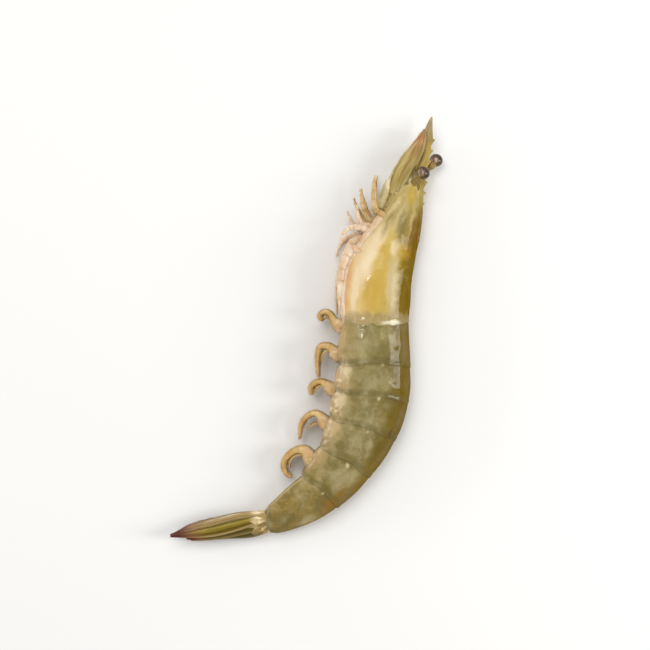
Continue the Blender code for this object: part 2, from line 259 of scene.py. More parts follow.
class WetFinish:
    """A wet surface: paint, light scattered under it and a thin film of water. Each paint is laid
    over the colour so far. A number that a method is given may be another node's output."""

    def __init__(self, name, rough=0.35, coat=0.8, coat_rough=0.1, under=0.35, reach=1.5, ior=WATER_IOR,
                 gloss=0.2):
        self.material = bpy.data.materials.new(name)
        self.material.use_nodes = True
        self.shader = self.material.node_tree.nodes["Principled BSDF"]
        self.colour = None
        for socket, value in (
            ("Roughness", rough), ("IOR", ior), ("Specular IOR Level", gloss), ("Coat Weight", coat),
            ("Coat Roughness", coat_rough), ("Coat IOR", WATER_IOR), ("Subsurface Weight", under),
            ("Subsurface Radius", (1.0, 0.8, 0.5)), ("Subsurface Scale", reach * MM),
        ):
            self.shader.inputs[socket].default_value = value

    def join(self, value, socket):
        if isinstance(value, bpy.types.NodeSocket):
            self.material.node_tree.links.new(value, socket)
        else:
            socket.default_value = value

    def node(self, kind, inputs, **settings):
        made = self.material.node_tree.nodes.new("ShaderNode" + kind)
        for key, value in settings.items():
            setattr(made, key, value)
        for key, value in inputs.items():
            self.join(value, made.inputs[key])
        return made

    def marks(self, name="place"):
        """What the mesh notes under a name, as a place and as its three numbers."""
        place = self.node("Attribute", {}, attribute_name=name).outputs["Vector"]
        return place, *self.node("SeparateXYZ", {0: place}).outputs

    def here(self):
        return self.node("TexCoord", {}).outputs["Object"]

    def times(self, first, *others):
        for other in others:
            first = self.node("Math", {0: first, 1: other}, operation="MULTIPLY").outputs[0]
        return first

    def scaled(self, value, factor, shift):
        return self.node("Math", {0: value, 1: factor, 2: shift}, operation="MULTIPLY_ADD").outputs[0]

    def size_of(self, value):
        return self.node("Math", {0: value}, operation="ABSOLUTE").outputs[0]

    def vector(self, operation, *values):
        return self.node("VectorMath", dict(enumerate(values)), operation=operation).outputs[0]

    def fade(self, value, start, end, most=1.0, least=0.0):
        """Grows smoothly from least to most while the value goes from start to end."""
        return self.node("MapRange", {0: value, 1: start, 2: end, 3: least, 4: most},
                         interpolation_type="SMOOTHSTEP").outputs[0]

    def ramp(self, factor, stops, smooth=True):
        """Colours read at a factor; a stop is its place and its red, green and blue."""
        made = self.node("ValToRGB", {"Fac": factor})
        made.color_ramp.interpolation = "EASE" if smooth else "LINEAR"
        while len(made.color_ramp.elements) < len(stops):
            made.color_ramp.elements.new(0.5)
        for element, (place, *paint) in zip(made.color_ramp.elements, stops):
            element.position = place
            element.color = tint(*paint)
        return made.outputs["Color"]

    def lay(self, *rows):
        """Lays paints over the colour so far. A row is a paint and the shares it is laid by, which
        are multiplied; a share in brackets is what fade is given."""
        for paint, *shares in rows:
            paint = paint if isinstance(paint, bpy.types.NodeSocket) else tint(*paint)
            shares = [self.fade(*share) if isinstance(share, tuple) else share for share in shares]
            mixed = self.node("Mix", {0: self.times(*shares)}, data_type="RGBA")
            self.join(self.colour, mixed.inputs[6])
            self.join(paint, mixed.inputs[7])
            self.colour = mixed.outputs[2]

    def grain(self, place, size, detail=3.0, rough=0.55, stretch=None):
        """Noise with lumps of a size, about 0.3 to 0.7; a small stretch factor draws them out."""
        if stretch:
            place = self.vector("MULTIPLY", place, stretch)
        return self.node("TexNoise", {
            "Vector": place, "Scale": 1.0 / size, "Detail": detail, "Roughness": rough}).outputs["Fac"]

    def cells(self, place, scale, randomness=1.0):
        return self.node("TexVoronoi", {
            "Vector": place, "Scale": scale, "Randomness": randomness}).outputs["Distance"]

    def wandering(self, place, size, reach):
        """A place that strays a little, so that a painted edge isn't a clean line."""
        stray = self.node("TexNoise", {"Vector": place, "Scale": 1.0 / size, "Detail": 3.0}).outputs["Color"]
        stray = self.vector("SUBTRACT", stray, (0.5, 0.5, 0.5))
        return self.vector("ADD", place, self.vector("MULTIPLY", stray, (reach, reach, reach)))

    def patch(self, place, centre, reach, soft=0.5, lean=0.0):
        """Share of an oval patch at a distance along and an offset to the back, turned by lean."""
        centre = (*centre, 0.0)
        if lean:
            turned = {"Vector": place, "Center": centre, "Angle": math.radians(-lean)}
            place = self.node("VectorRotate", turned, rotation_type="Z_AXIS").outputs[0]
        moved = self.vector("SUBTRACT", place, centre)
        sized = self.vector("MULTIPLY", moved, (1 / reach[0], 1 / reach[1], 0.0))
        far = self.node("VectorMath", {0: sized}, operation="LENGTH").outputs["Value"]
        return self.fade(far, 1 + soft, max(1 - soft, 0.0))

    def dress(self, relief, depth, roughness=None, film=None, wet=None):
        """Joins colour, relief (in mm at depth) and a roughness pattern to the shader. The film of
        water on top follows its own, smoother relief, and wet says how much of it there is."""
        inputs = self.shader.inputs
        self.join(self.colour, inputs["Base Color"])
        bump = self.node("Bump", {"Height": relief, "Strength": 1.0, "Distance": depth * MM})
        self.join(bump.outputs[0], inputs["Normal"])
        if film is not None:
            bump = self.node("Bump", {"Height": film, "Strength": 1.0, "Distance": depth * MM})
        self.join(bump.outputs[0], inputs["Coat Normal"])
        for value, socket in ((roughness, "Roughness"), (wet, "Coat Weight")):
            if value is not None:
                self.join(value, inputs[socket])


def mottled(name, stops, size, depth, detail=3.0, marks="place", stretch=None, **settings):
    """A finish of one noise, which gives both its colour and its relief. Without marks the noise
    follows the piece itself, and its size is in metres."""
    finish = WetFinish(name, **settings)
    place = finish.marks(marks)[0] if marks else finish.here()
    pattern = finish.grain(place, size, detail, stretch=stretch)
    finish.colour = finish.ramp(pattern, stops)
    finish.dress(pattern, depth)
    return finish


finish = mottled(
    "muscle_finish", ((0.3, 128, 118, 96), (0.5, 168, 158, 132), (0.7, 196, 184, 160)),
    size=1.4, depth=0.15, detail=4.0, stretch=(0.35, 1.0, 1.0), rough=0.3, under=0.6, reach=3.0)

muscle, s, turn, full = drawn_ball("muscle", 64, 140, MUSCLE_START, MUSCLE_END, 3.0)
u, v, middle = section(np.clip(s, 20, 137), turn)
swell = MUSCLE_FULLNESS * full
furrow = 1 - 0.1 * np.exp(-((np.abs(turn) - 180) / 20.0) ** 2)
move_points(muscle, columns(s, middle + (u - middle) * swell * furrow, v * swell))
turn_outward(muscle)
lay_down(muscle)
finish_piece(muscle, finish, "shell")

# ------------------------------
# Shell of the abdomen. Six thin rings of half clear cuticle, each overlapping the next one behind,
# open under the belly with a rounded plate hanging on each side. Each is a flat sheet rolled round
# the body, swelled and creased, then given its wall.
RING_STARTS = (64.0, 76.0, 85.3, 95.0, 106.0, 117.3, 136.2)
RING_WALL = 0.32
TUCK, FIRST_TUCK = 2.6, 1.4  # how far a ring reaches forward under the one in front, mm
RIM, LAST_RIM = 0.5, 0.9  # how far it reaches back over the next one, and the last over the fan's root
SHELL_REACH = 152.0  # from the back to the lower edge of a side plate, degrees
CORNER, FIRST_CORNER = 15, 3  # how much of that the plate's corners lose
LAST_PLATE = 8  # how much shorter the last ring's plate is
EDGE_BAND = 12.0  # width of the marked band along a lower edge, degrees
SHELL_PATCHES = (
    # Centre, reach, softness, colour, strength. Pale hinge knobs, each also a painted glint, then painted
    # highlights at the corners of the side plates.
    ((76.3, 2.4), (0.5, 0.4), 0.8, (208, 194, 150), 0.5),
    ((85.9, 2.4), (0.6, 0.45), 0.8, (220, 206, 164), 0.7),
    ((95.8, 2.2), (0.5, 0.4), 0.8, (208, 194, 150), 0.55),
    ((106.6, 1.8), (0.6, 0.5), 0.8, (222, 206, 162), 0.7),
    ((117.6, 1.6), (0.5, 0.4), 0.8, (222, 206, 162), 0.65),
    ((68.5, -9.2), (3.4, 0.9), 0.9, (196, 166, 112), 0.6),
    ((78.6, -8.0), (2.6, 1.5), 0.9, (226, 206, 166), 0.8),
    ((88.2, -8.2), (2.4, 1.5), 0.9, (222, 200, 160), 0.75),
    ((98.4, -7.6), (3.0, 1.5), 0.9, (206, 180, 136), 0.65),
    ((109.4, -6.4), (3.2, 1.5), 0.9, (196, 166, 116), 0.6),
    # Rust brown before the last ring, two dark spots on the back.
    ((117.0, 5.6), (3.5, 1.6), 0.7, (150, 106, 34), 0.6),
    ((94.4, 9.4), (1.0, 0.8), 0.6, (70, 56, 26), 0.6),
    ((100.0, 7.0), (2.6, 1.4), 0.7, (104, 84, 36), 0.5),
)


def open_section(s, turn, last_turn):
    """The body's skin for a shell that is open below: its sides hang down flat to the belly edge."""
    u, v, middle = section(s, turn)
    toward = np.clip(-np.cos(np.radians(turn)), 0, 1) / -math.cos(math.radians(last_turn))
    bottom = along(BODY, 2, s)
    hanging = v * (1 + 0.5 * toward**2)
    return np.where(toward > 0, middle - (middle - bottom) * toward**0.9, u), hanging, middle


def flat_sheet(name, lengthwise, around):
    """A flat sheet one unit square, from which a shell is rolled."""
    deselect()
    bpy.ops.mesh.primitive_grid_add(x_subdivisions=lengthwise, y_subdivisions=around, size=1,
                                    location=(0.5, 0.5, 0))
    bpy.ops.object.transform_apply(location=True, rotation=False, scale=False)
    sheet = bpy.context.object
    sheet.name = name
    return sheet


def bell(x, centre, width):
    return np.exp(-(((x - centre) / width) ** 2))


def step(x, start, end):
    t = np.clip((x - start) / (end - start), 0, 1)
    return t * t * (3 - 2 * t)


def lumps(points, size, seed=0.0):
    """Soft random relief, -1 to 1, at each point."""
    return np.array([noise.noise(Vector((p[0] / size + seed, p[1] / size, p[2] / size))) for p in points])


def apply_all(piece):
    choose(piece)
    for modifier in list(piece.modifiers):
        bpy.ops.object.modifier_apply(modifier=modifier.name)


def roll(sheet, s, turn, u, v, middle, swell, relief, thickness, fullness):
    """Rolls a sheet round the body, swelled by a share and raised by a relief in mm, and gives it
    its wall, inwards, thinner where fullness falls below one."""
    out = columns(u - middle, v)
    size = np.linalg.norm(out, axis=1, keepdims=True)
    out = out * (swell[:, None] + relief[:, None] / size)
    move_points(sheet, columns(s, middle + out[:, 0], out[:, 1]))
    group = sheet.vertex_groups.new(name="fullness")
    for index, share in enumerate(fullness):
        group.add((index,), float(share), "REPLACE")
    solidify = sheet.modifiers.new("wall", "SOLIDIFY")
    solidify.thickness = thickness
    solidify.vertex_group = "fullness"
    solidify.offset = -1
    solidify.use_rim = True
    apply_all(sheet)
    sheet.vertex_groups.clear()
    lay_down(sheet)


finish = WetFinish("shell_finish", rough=0.38, coat_rough=0.04, under=0.3, reach=1.2, gloss=0.0)
place, distance, offset, _ = finish.marks()
_, ring_share, ring_turn, ring_edge = finish.marks("ring")
strayed = finish.wandering(place, 3.0, 2.6)
stray_offset = finish.node("SeparateXYZ", {0: strayed}).outputs[1]
cloud = finish.grain(strayed, 5.5)
milky = finish.grain(place, 4.0, stretch=(1.0, 1.3, 1.3))
away_from_back = (offset, 8.0, 4.0, 1.0, 0.2)
drift = finish.grain(strayed, 6.0, 4.0, 0.6, stretch=(1.0, 0.8, 0.8))
hindward = (distance, 78.0, 100.0, 0.95, 0.65)
# Noise for the broken painted highlights on the side plates.
broken_glints = finish.grain(strayed, 2.0, 4.0, 0.65, stretch=(0.9, 1.2, 1.2))
ring_place = finish.node("CombineXYZ", {0: ring_share}).outputs[0]
doubled_and_seam_shade = finish.patch(ring_place, (0.95, 0.0), (0.08, 1.0), 0.9)
# Over 24 mm from belly to back; the darkest stops, at the back, are partly painted shade.
finish.colour = finish.ramp(finish.scaled(stray_offset, 1 / 24.0, 11.5 / 24.0), (
    (0.0, 186, 150, 104), (0.1, 168, 144, 96), (0.24, 152, 136, 86), (0.45, 141, 130, 84),
    (0.66, 135, 121, 71), (0.77, 114, 96, 24), (0.86, 106, 84, 0), (1.0, 88, 66, 0),
), smooth=False)
finish.lay(
    # Tail-ward the shell turns from grey-green to tan.
    ((156, 124, 54), (distance, 90.0, 134.0), 0.6),
    ((114, 103, 60), (cloud, 0.42, 0.66, 0.55)),
    ((186, 174, 132), (milky, 0.4, 0.76, 0.52), away_from_back),
    # Broad pale and dark clouds, strongest on the hind rings.
    ((176, 164, 122), (drift, 0.5, 0.64, 0.55), hindward, away_from_back),
    ((106, 92, 44), (drift, 0.5, 0.38, 0.6), hindward),
    ((120, 106, 66), (finish.grain(place, 0.9, 3.0, 0.6), 0.5, 0.7, 0.24)),
    # Along the back the shell is a clear brown olive, laid darker there partly as painted shade of the back
    # edge.
    ((106, 82, 4), (offset, 5.0, 9.5, 0.5)),
    # Side plates: pink tan over the leg muscle, with broken whitish spots that are painted highlights, and a
    # pale hem.
    ((192, 160, 112), (stray_offset, -4.5, -10.0), (milky, 0.3, 0.66, 0.9, 0.25),
     (distance, 72.0, 79.0, 1.0, 0.45)),
    ((230, 204, 168), (broken_glints, 0.5, 0.6), (offset, -5.4, -9.0, 0.8), (distance, 72.0, 78.0)),
    ((222, 198, 152), (ring_edge, 0.45, 0.0), 0.45),
    *((paint, finish.patch(strayed, centre, reach, soft), strength)
      for centre, reach, soft, paint, strength in SHELL_PATCHES),
    # Where two plates lie over each other the shell is darker, in a broken band before the rim that is also
    # painted shade of the seam.
    ((104, 92, 50), doubled_and_seam_shade, (cloud, 0.34, 0.52, 0.6, 0.1)),
    # Pigment specks, in fields.
    ((84, 70, 40), (finish.cells(place, 1.15), 0.17, 0.07), (finish.grain(place, 6.0, 2.0), 0.42, 0.62),
     0.55),
)
# Wet but for a dry ridge and some dry spots.
broad = finish.grain(place, 3.6, 1.0)
wet = finish.fade(finish.size_of(ring_turn), 0.09, 0.19, 0.85, 0.12)
puddle = finish.grain(place, 3.4, stretch=(0.5, 1.0, 1.0))
wet = finish.times(wet, finish.fade(puddle, 0.4, 0.5, 1.0, 0.35))
finish.dress(finish.scaled(broad, 3.0, finish.grain(place, 0.5, 2.0)), 0.035,
             finish.fade(cloud, 0.3, 0.7, 0.42, 0.26), finish.times(broad, 4.6), wet)

for number in range(6):
    start, end = RING_STARTS[number], RING_STARTS[number + 1]
    ring = flat_sheet(f"shell_ring_{number + 1}", 46, 110)
    a, b = points_of(ring)[:, :2].T
    first = start - (TUCK if number else FIRST_TUCK)
    last = end + (RIM if number < 5 else LAST_RIM)
    s = first + (last - first) * a
    t = (s - start) / (end - start)
    # The plate's lower edge: longest a little behind the middle, rounded at both corners.
    droop = np.clip((t - 0.56) / 0.6, -1, 1)
    rounding = np.where(droop < 0, CORNER if number else FIRST_CORNER, CORNER)
    reach = SHELL_REACH - rounding * np.abs(droop) ** 2.4 - (LAST_PLATE if number == 5 else 0)
    turn = (1 - 2 * b) * reach
    side = np.abs(turn)
    # The rear rim isn't straight: forward at the hinge, back over the side plate, and uneven.
    sway = 0.9 * bell(side, 128, 24) - 0.6 * bell(side, 88, 26)
    sway = sway + 0.5 * lumps(columns(turn, turn * 0, turn * 0), 30.0, 5.0 + number)
    s = s + sway * step(t, 0.45, 1.0) * (1 - step(s, 128, 135))
    u, v, middle = open_section(s, turn, SHELL_REACH)
    # Swell: tucked in at the front, fullest past the middle, rim turned out a little. The last ring
    # closes round the fan's root.
    swell = 0.942 + 0.034 * step(t, -0.25, 0.13) + 0.01 * bell(t, 0.6, 0.3) + 0.006 * step(t, 0.9, 1.02)
    swell = swell - 0.22 * step(s, 133.6, 137.2) ** 1.6
    # Folds at the front and before the rim, and a furrow over the hinge of the side plate.
    relief = (
        -0.06 * bell(t, 0.16, 0.08) * step(side, 5, 40) * (1 - step(side, 118, 140))
        - 0.05 * bell(t, 0.92, 0.04)
        + 0.14 * bell(side, 112, 12) * bell(t, 0.45, 0.28)
        - 0.16 * bell(side, 128, 8) * bell(t, 0.5, 0.4)
    )
    keel = (0.08 + 0.05 * max(number - 2, 0)) * bell(turn, 0, 6.0) * step(t, 0.0, 0.5)
    skin = columns(s, u, v)
    relief = relief + 0.14 * lumps(skin, 6.0, number) + 0.03 * lumps(skin, 2.0, number + 9) + keel
    edge = (reach - side) / EDGE_BAND
    note(ring, "ring", columns(t, turn / 180.0, edge))
    fullness = (1 - 0.75 * step(t, 0.84, 1.0)) * (0.3 + 0.7 * step(edge, 0.0, 0.8))
    roll(ring, s, turn, u, v, middle, swell, relief, RING_WALL, fullness)
    finish_piece(ring, finish, "shell", f"abdomen_{number + 1}")

# ------------------------------
# Head shield with its saw-toothed rostrum. One stiff, half clear shield over the head and gills,
# cut out round the eyes, with a thin toothed blade grown from its crest. The shield is a rolled
# sheet; the blade is a cut outline, thinned towards its tip.
SHIELD_WALL = 0.35
# Angle from the back: front edge, rear edge.
SHIELD_EDGES = np.array((
    (0, 17.0, 63.4), (12, 18.5, 63.6), (28, 21.2, 63.9), (44, 22.3, 64.3), (58, 20.6, 64.6), (68, 18.6, 64.8),
    (80, 20.0, 64.9), (100, 21.6, 64.9), (118, 24.2, 64.7), (136, 28.4, 64.0), (152, 36.0, 62.0),
))
SHIELD_PATCHES = (
    # Centre along and across, reach along and across, softness, lean, colour, strength.
    ((52.0, 0.0), (9.5, 3.6), 0.6, -2, (198, 166, 80), 0.85),  # gland, gold
    ((55.0, -1.6), (5.0, 2.2), 0.7, 0, (196, 158, 70), 0.6),
    ((47.0, -4.6), (9.0, 2.1), 0.62, -11, (234, 208, 168), 1.0),  # gill chamber, cream, partly a painted highlight
    ((39.5, -3.2), (4.5, 2.0), 0.5, -20, (232, 208, 166), 0.7),
    # A bright cream line along the gill chamber's lower side: painted highlight.
    ((56.0, -6.2), (6.0, 0.9), 0.5, -2, (240, 214, 170), 0.9),
    ((52.0, -9.4), (14.0, 1.3), 0.5, 0, (216, 150, 92), 0.55),  # lower edge, over the legs
    ((52.0, 4.2), (10.0, 1.6), 0.6, 5, (200, 182, 136), 0.85),  # pale stripe, a painted highlight under the lamp beside the back
    # Front end of the pale stripe: painted highlight.
    ((40.8, 2.6), (2.4, 1.3), 0.5, 0, (230, 204, 160), 0.85),
    ((41.4, 5.8), (2.4, 1.7), 0.5, 0, (184, 146, 42), 0.85),  # heart, bright gold
    ((52.0, 8.6), (10.0, 1.7), 0.6, 0, (112, 88, 2), 0.95),  # back, dark olive, darker partly as painted shade of the back edge
    ((34.5, 7.2), (8.0, 1.9), 0.8, 0, (108, 76, 0), 0.9),
    ((33.4, 3.0), (5.4, 1.3), 0.8, 3, (118, 104, 50), 0.75),  # stomach, dark, with pale streaks
    ((34.4, -1.2), (4.6, 0.8), 0.8, -10, (148, 130, 74), 0.75),
    ((30.0, -1.4), (4.0, 0.6), 0.8, -18, (214, 196, 146), 0.7),
    ((32.0, 1.0), (4.6, 0.5), 0.8, -4, (196, 178, 124), 0.6),
    ((27.6, 2.4), (3.4, 0.6), 0.8, 8, (196, 174, 112), 0.6),
    ((31.0, 5.0), (4.6, 0.5), 0.8, 4, (196, 174, 118), 0.6),
    ((23.6, 2.6), (3.4, 1.3), 0.6, 10, (186, 158, 66), 0.8),  # yellow flesh by the eye
    ((30.5, -4.0), (2.4, 0.6), 0.7, -30, (232, 204, 176), 0.8),
    ((63.4, 0.0), (2.2, 14.0), 0.5, 0, (158, 140, 100), 0.75),  # rear rim over muscle
    # A bright spot on the rear rim: painted highlight.
    ((63.9, 4.8), (0.7, 2.6), 0.5, 0, (240, 230, 200), 0.8),
)

finish = WetFinish("shield_finish", rough=0.36, coat=0.6, coat_rough=0.05, under=0.3, reach=1.2, gloss=0.0)
place, distance, offset, _ = finish.marks()
_, shield_share, shield_turn, _ = finish.marks("ring")
strayed = finish.wandering(place, 2.6, 2.4)
stray_distance, stray_offset, _ = finish.node("SeparateXYZ", {0: strayed}).outputs
cloud = finish.grain(strayed, 3.0)
milky = finish.grain(strayed, 2.2, stretch=(0.35, 1.7, 1.7))
threads = finish.grain(place, 1.6, stretch=(0.22, 2.0, 1.0))
forward = (distance, 22.0, 17.0)
# Over 22 mm from belly to back; the darkest stops, at the back, are partly painted shade.
finish.colour = finish.ramp(finish.scaled(stray_offset, 1 / 22.0, 11.0 / 22.0), (
    (0.0, 222, 168, 108), (0.1, 228, 188, 130), (0.22, 226, 196, 142), (0.36, 212, 180, 112),
    (0.5, 200, 170, 86), (0.66, 186, 160, 92), (0.79, 138, 112, 26), (0.88, 118, 92, 6), (1.0, 94, 68, 0),
), smooth=False)
finish.lay(
    # Front of the shield: olive and grey green over the stomach.
    ((166, 146, 86), (stray_distance, 39.0, 32.0, 0.8)),
    ((152, 132, 76), (stray_distance, 24.0, 10.0, 0.8)),
    *((paint, finish.patch(strayed, centre, reach, soft, lean), strength)
      for centre, reach, soft, lean, paint, strength in SHIELD_PATCHES),
    ((150, 126, 66), (cloud, 0.54, 0.72, 0.4), (offset, -2.5, 1.5, 1.0, 0.15)),
    ((226, 206, 154), (milky, 0.5, 0.74, 0.24), (offset, 7.5, 4.5)),
    # Forward of the eyes: long gold and olive streaks, then a greyish point.
    ((186, 158, 84), (threads, 0.48, 0.6, 0.7), forward),
    ((120, 102, 48), (threads, 0.46, 0.36, 0.6), forward),
    ((154, 138, 116), (distance, 9.0, 1.0, 0.8)),
    # The thin front rim is painted pale, as painted light against the shade of the gap under it, so that it
    # melts into the parts it covers.
    ((196, 176, 112), (shield_share, 0.05, 0.0, 0.6)),
    # Pigment specks, in fields towards the back.
    ((96, 76, 36), (finish.cells(place, 1.0), 0.16, 0.06), (finish.grain(place, 5.0, 2.0), 0.45, 0.62),
     (offset, -1.0, 3.0), 0.25),
)
broad = finish.grain(place, 3.4, 1.0)
wet = finish.fade(finish.size_of(shield_turn), 0.14, 0.27, 0.6, 0.05)
finish.dress(finish.scaled(broad, 3.0, finish.grain(place, 0.5, 2.0)), 0.035,
             finish.fade(cloud, 0.3, 0.7, 0.4, 0.26), finish.times(broad, 2.4), wet)

shield = flat_sheet("head_shield", 150, 130)
a, b = points_of(shield)[:, :2].T
turn = (1 - 2 * b) * SHELL_REACH
side = np.abs(turn)
edge_front = along(SHIELD_EDGES, 1, side)
s = edge_front + (along(SHIELD_EDGES, 2, side) - edge_front) * a
u, v, middle = open_section(np.clip(s, 20, 70), turn, SHELL_REACH)
skin = columns(s, u, v)
relief = (
    0.7 * bell(turn, 0, 6.0) * (1 - step(s, 30, 50))  # crest behind the rostrum
    + 0.12 * bell(turn, 0, 6.0)
    - 0.12 * bell(side, 17, 8.0) * (1 - step(s, 34, 46))  # groove beside the crest
    - 0.16 * bell(side, 62 + (s - 30) * 1.6, 9.0) * bell(s, 32, 5.0)  # groove under the eye
    + 0.18 * bell(side, 84, 11.0) * (1 - step(s, 32, 44))  # ridge to the spine at the front edge
    - 0.2 * bell(s, 40.5 - (side - 60) * 0.07, 1.8) * bell(side, 66, 26)  # neck groove
    + 0.05 * bell(s, 63.4, 0.6) - 0.05 * bell(s, 62.3, 0.6)  # rear rim
    + 0.16 * bell(side, 104, 18) * bell(s, 52, 9)  # swell over the gills
    + 0.22 * bell(side, 146, 5)  # lower rim, with a groove over it
    - 0.25 * bell(side, 136, 5) * step(s, 34, 44)
    + 0.2 * lumps(skin, 6.0, 3.0) + 0.03 * lumps(skin, 2.0, 5.0)
)
swell = 0.975 - 0.06 * (1 - step(s, 20, 27))
note(shield, "ring", columns(a, turn / 180.0, (SHELL_REACH - side) / EDGE_BAND))
fullness = 0.3 + 0.7 * step(np.minimum(a, 1 - a) * 40, 0.0, 1.0)
roll(shield, s, turn, u, v, middle, swell, relief, SHIELD_WALL, fullness)
finish_piece(shield, finish, "shell", "carapace")

# The blade: eight saw teeth along its upper edge, two below, then back to the crest.
TEETH, FIRST_TOOTH, TOOTH_GAP = 8, 28.0, 3.15
BLADE_TOP = [(37.5, 8.9), (36.5, 9.3), (34.0, 8.5), (31.6, 8.05), (31.0, 8.4)]
for tooth in range(TEETH):
    tip = FIRST_TOOTH - tooth * TOOTH_GAP
    crest = 0.2 * tip + 1.55
    BLADE_TOP += [(tip + 2.4, crest + 0.1), (tip + 1.1, crest + 0.28), (tip, crest + 0.62),
                  (tip + 0.15, crest + 0.1), (tip - 0.1, crest - 0.28)]
BLADE_LOW = [(2.6, 1.05), (0.0, 0.0), (0.3, -0.5), (2.4, -0.75), (4.2, -0.75), (4.5, -0.45), (7.4, -0.6),
             (7.7, -0.25), (11.5, 0.3), (16.0, 1.2), (22.0, 2.4), (28.0, 3.6), (34.0, 5.0), (37.5, 6.5)]


def new_curve(name, **settings):
    curve = bpy.data.curves.new(name, "CURVE")
    for key, value in settings.items():
        setattr(curve, key, value)
    return curve


def add_path(curve, places, radii):
    """A run of straight steps along a curve; radii are shares of its bevel."""
    path = curve.splines.new("POLY")
    path.points.add(len(places) - 1)
    for point, place, radius in zip(path.points, places, radii):
        point.co = (*place, 1)
        point.radius = radius
    return path


def meshed(curve):
    """A curve made a mesh piece."""
    piece = bpy.data.objects.new(curve.name, curve)
    scene.collection.objects.link(piece)
    choose(piece)
    bpy.ops.object.convert(target="MESH")
    return bpy.context.object


outline = [(*place, 0.0) for place in BLADE_TOP + BLADE_LOW]
curve = new_curve("rostrum", dimensions="2D", fill_mode="BOTH", extrude=0.5)
add_path(curve, outline, [1.0] * len(outline)).use_cyclic_u = True
rostrum = meshed(curve)
remesh = rostrum.modifiers.new("skin", "REMESH")
remesh.mode = "VOXEL"
remesh.voxel_size = 0.16
apply_all(rostrum)
s, u, v = points_of(rostrum).T
# Thickest along its middle line and thin at the teeth, and thicker towards the crest.
middle_line = np.interp(s, (0, 8, 16, 24, 30, 37.5), (-0.1, 1.2, 2.6, 4.2, 5.6, 7.4))
upper_line = np.interp(s, (0, 6, 37.5), (0.3, 2.4, 9.2))
thick = 0.35 + 1.5 * (np.clip(s, 0, 40) / 36) ** 1.2
height = np.clip(np.abs(u - middle_line) / np.maximum(upper_line - middle_line + 0.6, 0.5), 0, 1)
v = v * thick * (1.0 - 0.75 * height**1.3) * 2.0
move_points(rostrum, columns(s, u, v))
note(rostrum, "ring", columns(s / 40, np.full(len(s), 0.2), v))
lay_down(rostrum)
finish_piece(rostrum, finish, "shell")

# ------------------------------
# Base of the head under the shield's front edge, from which eyes and feelers grow. Soft ringed
# cuticle over muscle. A ball drawn out along the head and creased.

# Distance, back edge, belly edge, half width.
HEAD_BASE = np.array((
    (13, 0.9, -1.2, 0.8), (17, 1.9, -2.8, 1.9), (22, 3.2, -4.3, 3.0), (27, 4.6, -5.1, 4.0),
    (33, 6.2, -5.4, 5.0),
))
finish = mottled(
    "head_finish", ((0.3, 112, 94, 44), (0.45, 160, 138, 80), (0.58, 190, 166, 108), (0.7, 224, 204, 156)),
    size=1.6, depth=0.1, rough=0.34, under=0.3, reach=1.2)

head_base, s, turn, full = drawn_ball("head_base", 48, 60, HEAD_BASE[0, 0], HEAD_BASE[-1, 0], 2.0)
top, bottom, half = (along(HEAD_BASE, k, s) for k in (1, 2, 3))
middle = (top + bottom) / 2
creased = full * (1 - 0.03 * np.sin(s * 2.0) ** 2)
u = middle + (top - bottom) / 2 * np.cos(np.radians(turn)) * creased
v = half * np.sin(np.radians(turn)) * creased
bulge = 1 + 0.06 * lumps(columns(s, u, v), 2.4, 2.0)
move_points(head_base, columns(s, middle + (u - middle) * bulge, v * bulge))
turn_outward(head_base)
lay_down(head_base)
finish_piece(head_base, finish, "limbs")

# ------------------------------
# Eyes. Glossy black-brown balls, each on a short two-part stalk with a collar round the ball.
# The ball is a sphere; stalk and collar are turned round its axis.
EYE_RADIUS = 2.0
EYES = (
    # Side, foot of the stalk, middle of the ball.
    ("left", (21.0, 2.0, 2.6), (17.0, 3.5, 4.0)),
    ("right", (18.0, 3.2, -1.6), (11.3, 5.9, -3.2)),
)
COLLAR_OVERLAP = 0.35
# Share of the stalk's length and its radius there, mm.
STALK_PROFILE = ((0, 0.3, 0.42, 0.55, 0.7, 0.8, 1.0), (0.85, 0.95, 0.8, 1.0, 1.25, 1.35, 1.0))
eye_finish = WetFinish("eye_finish", rough=0.15, coat=1.0, coat_rough=0.02, under=0.0, ior=1.5)
place, axial, aside, upward = eye_finish.marks("ring")
painted_highlight_side = eye_finish.scaled(aside, -0.45, upward)
eye_finish.colour = eye_finish.ramp(axial, (
    (0.0, 128, 100, 58), (0.34, 88, 62, 34), (0.52, 46, 30, 16), (0.8, 38, 26, 16), (1.0, 58, 42, 30)))
eye_finish.lay(
    # Painted highlight: a milky patch on the side that faces up, warm brown round it.
    ((104, 76, 50), (painted_highlight_side, 0.3, 0.95, 0.65)),
    ((212, 188, 160), (painted_highlight_side, 0.76, 1.02), (eye_finish.grain(place, 0.5), 0.36, 0.6), 0.8),
)
eye_finish.dress(eye_finish.cells(place, 9.0, 0.25), 0.012)
stalk_finish = mottled(
    "stalk_finish", ((0.35, 98, 78, 30), (0.5, 138, 114, 52), (0.66, 178, 152, 88)),
    size=0.16, depth=0.08, marks="ring", rough=0.3, reach=1.0)


def set_down(piece, points):
    """Moves a piece's points, metres, and keeps them out of the table."""
    points[:, 2] = np.maximum(points[:, 2], 0.0)
    move_points(piece, points)


